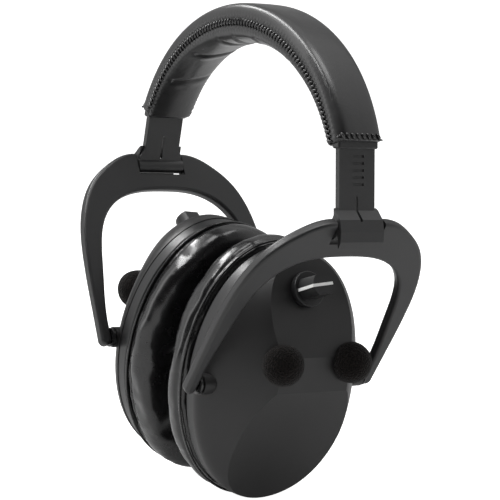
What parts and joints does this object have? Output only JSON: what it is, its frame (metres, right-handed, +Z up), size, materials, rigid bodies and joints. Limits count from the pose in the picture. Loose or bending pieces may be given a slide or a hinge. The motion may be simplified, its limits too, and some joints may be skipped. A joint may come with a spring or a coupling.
{
  "type": "electronic earmuff hearing protector",
  "caption": "Over-the-head electronic earmuff hearing protector with padded leather headband, hinged wire-free yokes, deep oval cups, volume knobs and foam microphone covers.",
  "frame": {"origin": "point where the wearer's crown touches the middle of the headband pad", "axes": "+Z up, +X towards the cup seen nearest, -Y towards the front of the headband"},
  "size_m": [0.1662, 0.1028, 0.2215],
  "materials": {
    "headband_leather": "semi-gloss",
    "soft_foam": "matte",
    "spring_steel": "satin",
    "arm_plastic": "satin",
    "strap_plastic": "satin",
    "yoke_plastic": "satin",
    "steel": "satin",
    "pin_plastic": "gloss",
    "shell_plastic": "satin",
    "base_plastic": "satin",
    "plate_plastic": "matte",
    "cushion_leather": "gloss",
    "inner_foam": "matte",
    "cone_film": "gloss",
    "board": "gloss",
    "battery_jacket": "gloss",
    "grommet_rubber": "matte",
    "mic_metal": "satin",
    "windscreen_foam": "matte",
    "knob_plastic": "matte",
    "indicator_white": "satin"
  },
  "bodies": {
    "headband": {"headband_cover": "headband_leather", "headband_crown_foam": "soft_foam", "headband_pad_foam": "soft_foam", "spring_band": "spring_steel", "right_arm_guide": "arm_plastic", "left_arm_guide": "arm_plastic"},
    "right_arm": {"right_slider_arm": "arm_plastic", "right_slider_strap": "strap_plastic"},
    "right_yoke": {"right_yoke": "yoke_plastic", "right_yoke_hinge_pin": "steel", "right_pivot_pins": "pin_plastic"},
    "right_cup": {"right_cup_shell": "shell_plastic", "right_cup_base": "base_plastic", "right_base_screws": "steel", "right_cushion_plate": "plate_plastic", "right_ear_cushion": "cushion_leather", "right_inner_foam": "inner_foam", "right_foam_liner": "soft_foam", "right_speaker_baffle": "base_plastic", "right_speaker_frame": "plate_plastic", "right_speaker_magnet": "steel", "right_speaker_cone": "cone_film", "right_circuit_board": "board", "right_batteries": "battery_jacket", "right_battery_holder": "plate_plastic", "right_volume_control": "plate_plastic", "right_mic_grommets": "grommet_rubber", "right_microphones": "mic_metal", "right_mic_windscreens": "windscreen_foam"},
    "right_knob": {"right_knob_shaft": "steel", "right_volume_knob": "knob_plastic", "right_knob_indicator": "indicator_white"},
    "left_arm": {"left_slider_arm": "arm_plastic", "left_slider_strap": "strap_plastic"},
    "left_yoke": {"left_yoke": "yoke_plastic", "left_yoke_hinge_pin": "steel", "left_pivot_pins": "pin_plastic"},
    "left_cup": {"left_cup_shell": "shell_plastic", "left_cup_base": "base_plastic", "left_base_screws": "steel", "left_cushion_plate": "plate_plastic", "left_ear_cushion": "cushion_leather", "left_inner_foam": "inner_foam", "left_foam_liner": "soft_foam", "left_speaker_baffle": "base_plastic", "left_speaker_frame": "plate_plastic", "left_speaker_magnet": "steel", "left_speaker_cone": "cone_film", "left_circuit_board": "board", "left_batteries": "battery_jacket", "left_battery_holder": "plate_plastic", "left_volume_control": "plate_plastic", "left_mic_grommets": "grommet_rubber", "left_microphones": "mic_metal", "left_mic_windscreens": "windscreen_foam"},
    "left_knob": {"left_knob_shaft": "steel", "left_volume_knob": "knob_plastic", "left_knob_indicator": "indicator_white"}
  },
  "joints": [
    {"name": "right_arm_slide", "type": "slide", "parent": "headband", "child": "right_arm", "axis": [0.1219, 0, -0.9925], "range_m": [-0.011, 0.003], "deforming": ["right_slider_strap"]},
    {"name": "right_yoke_hinge", "type": "hinge", "parent": "right_arm", "child": "right_yoke", "pos_m": [0.07824, 0, -0.07492], "axis": [0, -1, 0], "range_deg": [0, 35]},
    {"name": "right_cup_tilt", "type": "hinge", "parent": "right_yoke", "child": "right_cup", "pos_m": [0.03419, 0, -0.14738], "axis": [0, 1, 0], "range_deg": [-10, 10]},
    {"name": "right_knob_turn", "type": "hinge", "parent": "right_cup", "child": "right_knob", "pos_m": [0.04911, -0.0017, -0.1047], "axis": [0.9397, 0, 0.342], "range_deg": [-150, 150]},
    {"name": "left_arm_slide", "type": "slide", "parent": "headband", "child": "left_arm", "axis": [-0.1219, 0, -0.9925], "range_m": [0, 0.014], "deforming": ["left_slider_strap"]},
    {"name": "left_yoke_hinge", "type": "hinge", "parent": "left_arm", "child": "left_yoke", "pos_m": [-0.0769, 0, -0.064], "axis": [0, 1, 0], "range_deg": [0, 35]},
    {"name": "left_cup_tilt", "type": "hinge", "parent": "left_yoke", "child": "left_cup", "pos_m": [-0.03827, 0, -0.13949], "axis": [0, 1, 0], "range_deg": [-10, 10]},
    {"name": "left_knob_turn", "type": "hinge", "parent": "left_cup", "child": "left_knob", "pos_m": [-0.04046, 0.0017, -0.09434], "axis": [-0.8039, 0, 0.5948], "range_deg": [-150, 150]}
  ]
}
